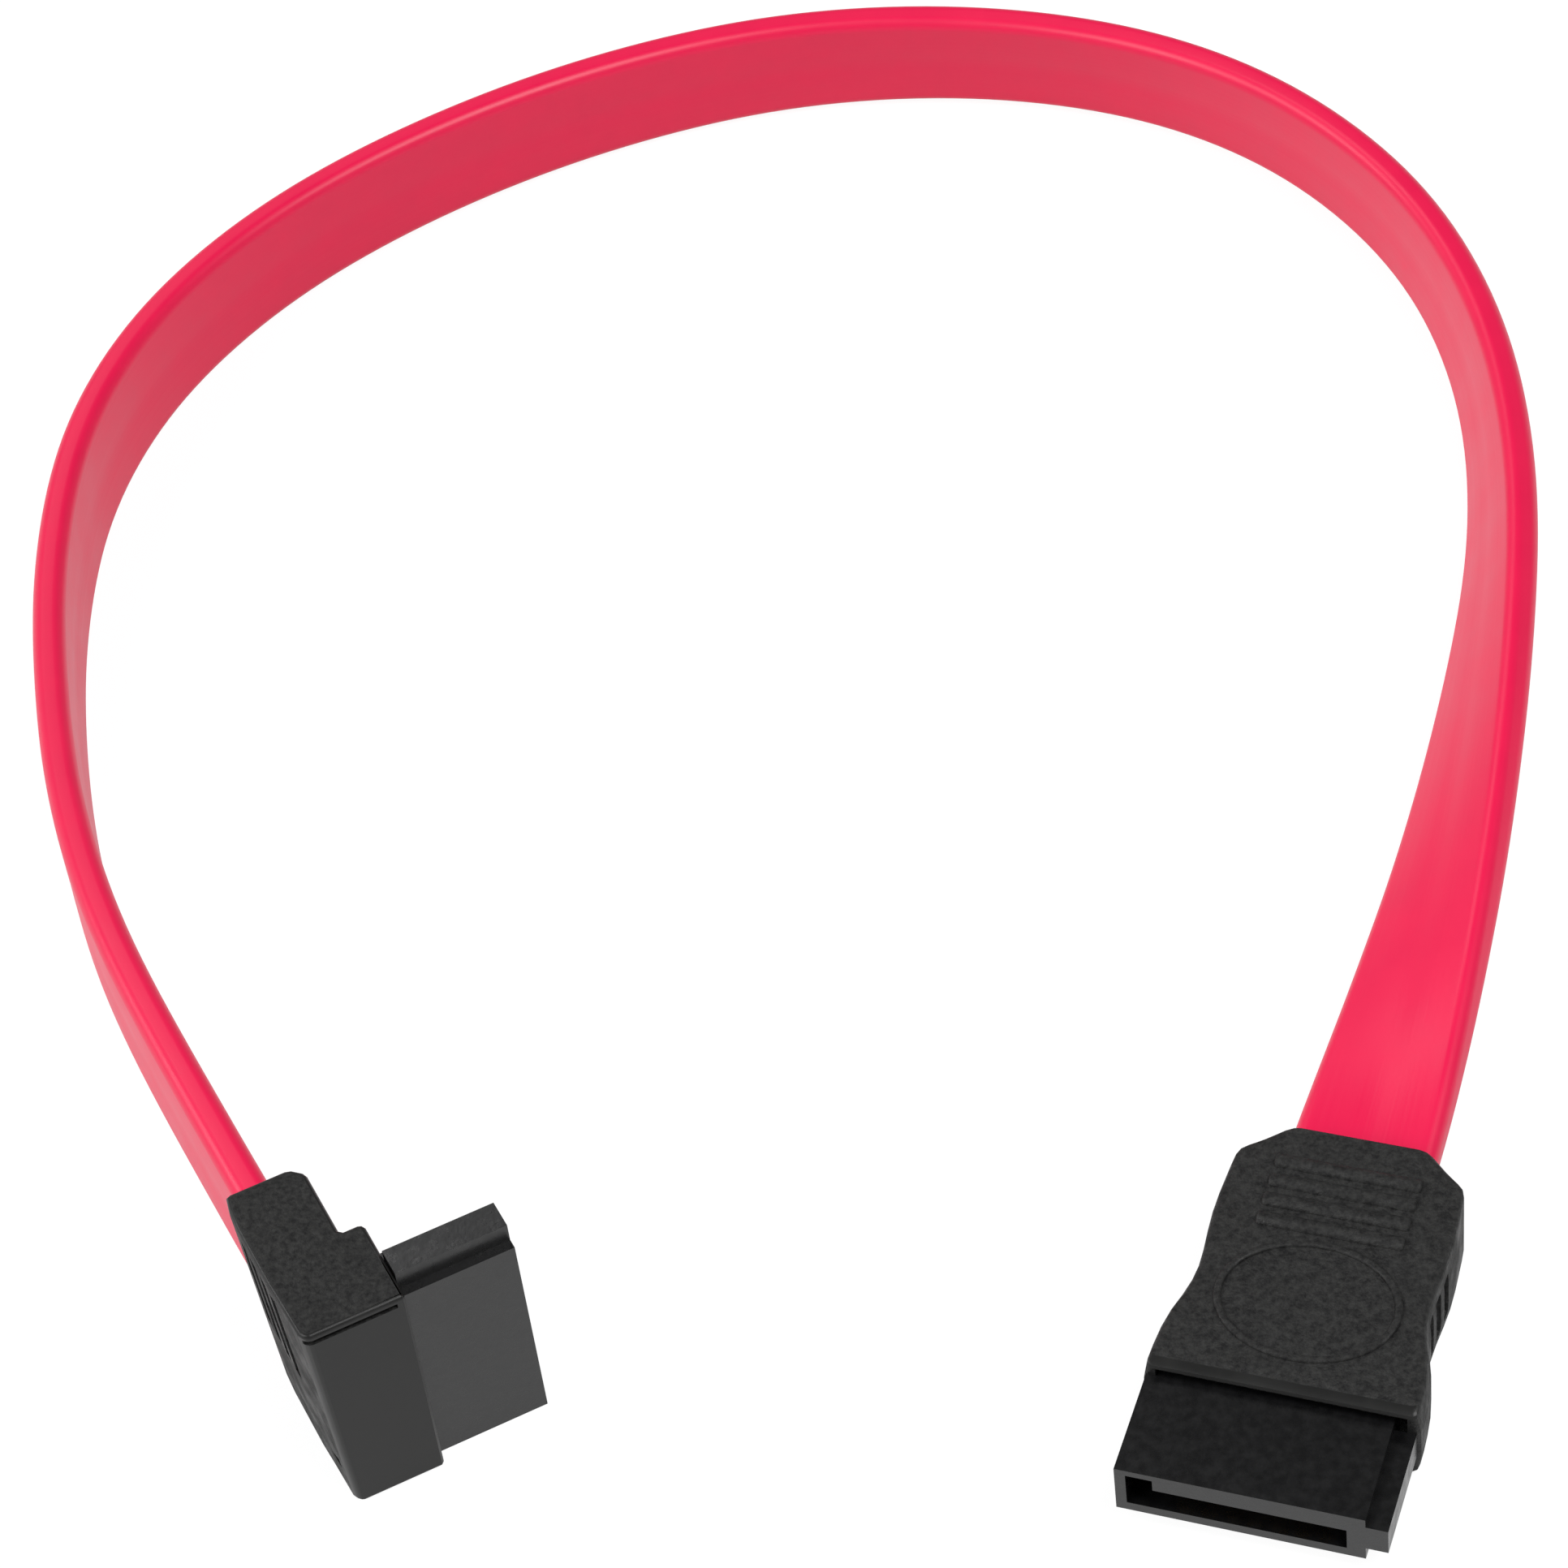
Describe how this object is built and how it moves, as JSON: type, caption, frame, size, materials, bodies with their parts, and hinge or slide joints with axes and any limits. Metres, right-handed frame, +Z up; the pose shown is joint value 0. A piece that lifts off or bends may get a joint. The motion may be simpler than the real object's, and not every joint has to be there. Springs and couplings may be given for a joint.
{
  "type": "flat signal data cable",
  "caption": "Short flat red signal cable for a computer drive, with a straight connector at one end and a right-angle connector at the other.",
  "frame": {"origin": "on the flat underside of the straight connector's grip, on its centre line, 14.85 mm behind its mouth", "axes": "+Z up from the surface that the cable lies on, +Y from the connectors towards the far side of the loop, +X to the right of a viewer who stands at the connectors"},
  "size_m": [0.0945, 0.132, 0.0146],
  "materials": {
    "jacket": "satin extruded PVC",
    "overmould": "grained soft PVC moulding",
    "housing": "smooth hard polyester moulding",
    "inner_mould": "natural polyethylene",
    "contact": "gold plated copper alloy",
    "foil": "aluminium foil",
    "insulation": "foamed polyethylene on silvered copper wire",
    "drain": "bare tinned copper wire"
  },
  "bodies": {
    "root": {"cable_jacket": "jacket", "pair_a_foil_shield": "foil", "pair_b_foil_shield": "foil", "pair_a_outer_signal_wire": "insulation", "pair_a_inner_signal_wire": "insulation", "pair_b_outer_signal_wire": "insulation", "pair_b_inner_signal_wire": "insulation", "pair_a_outer_drain_wire": "drain", "pair_a_inner_drain_wire": "drain", "pair_b_outer_drain_wire": "drain", "pair_b_inner_drain_wire": "drain", "straight_housing": "housing", "straight_overmould": "overmould", "straight_inner_mould": "inner_mould", "straight_contact_1": "contact", "straight_contact_2": "contact", "straight_contact_3": "contact", "straight_contact_4": "contact", "straight_contact_5": "contact", "straight_contact_6": "contact", "straight_contact_7": "contact", "angled_housing": "housing", "angled_overmould": "overmould", "angled_inner_mould": "inner_mould", "angled_contact_1": "contact", "angled_contact_2": "contact", "angled_contact_3": "contact", "angled_contact_4": "contact", "angled_contact_5": "contact", "angled_contact_6": "contact", "angled_contact_7": "contact"}
  },
  "joints": []
}
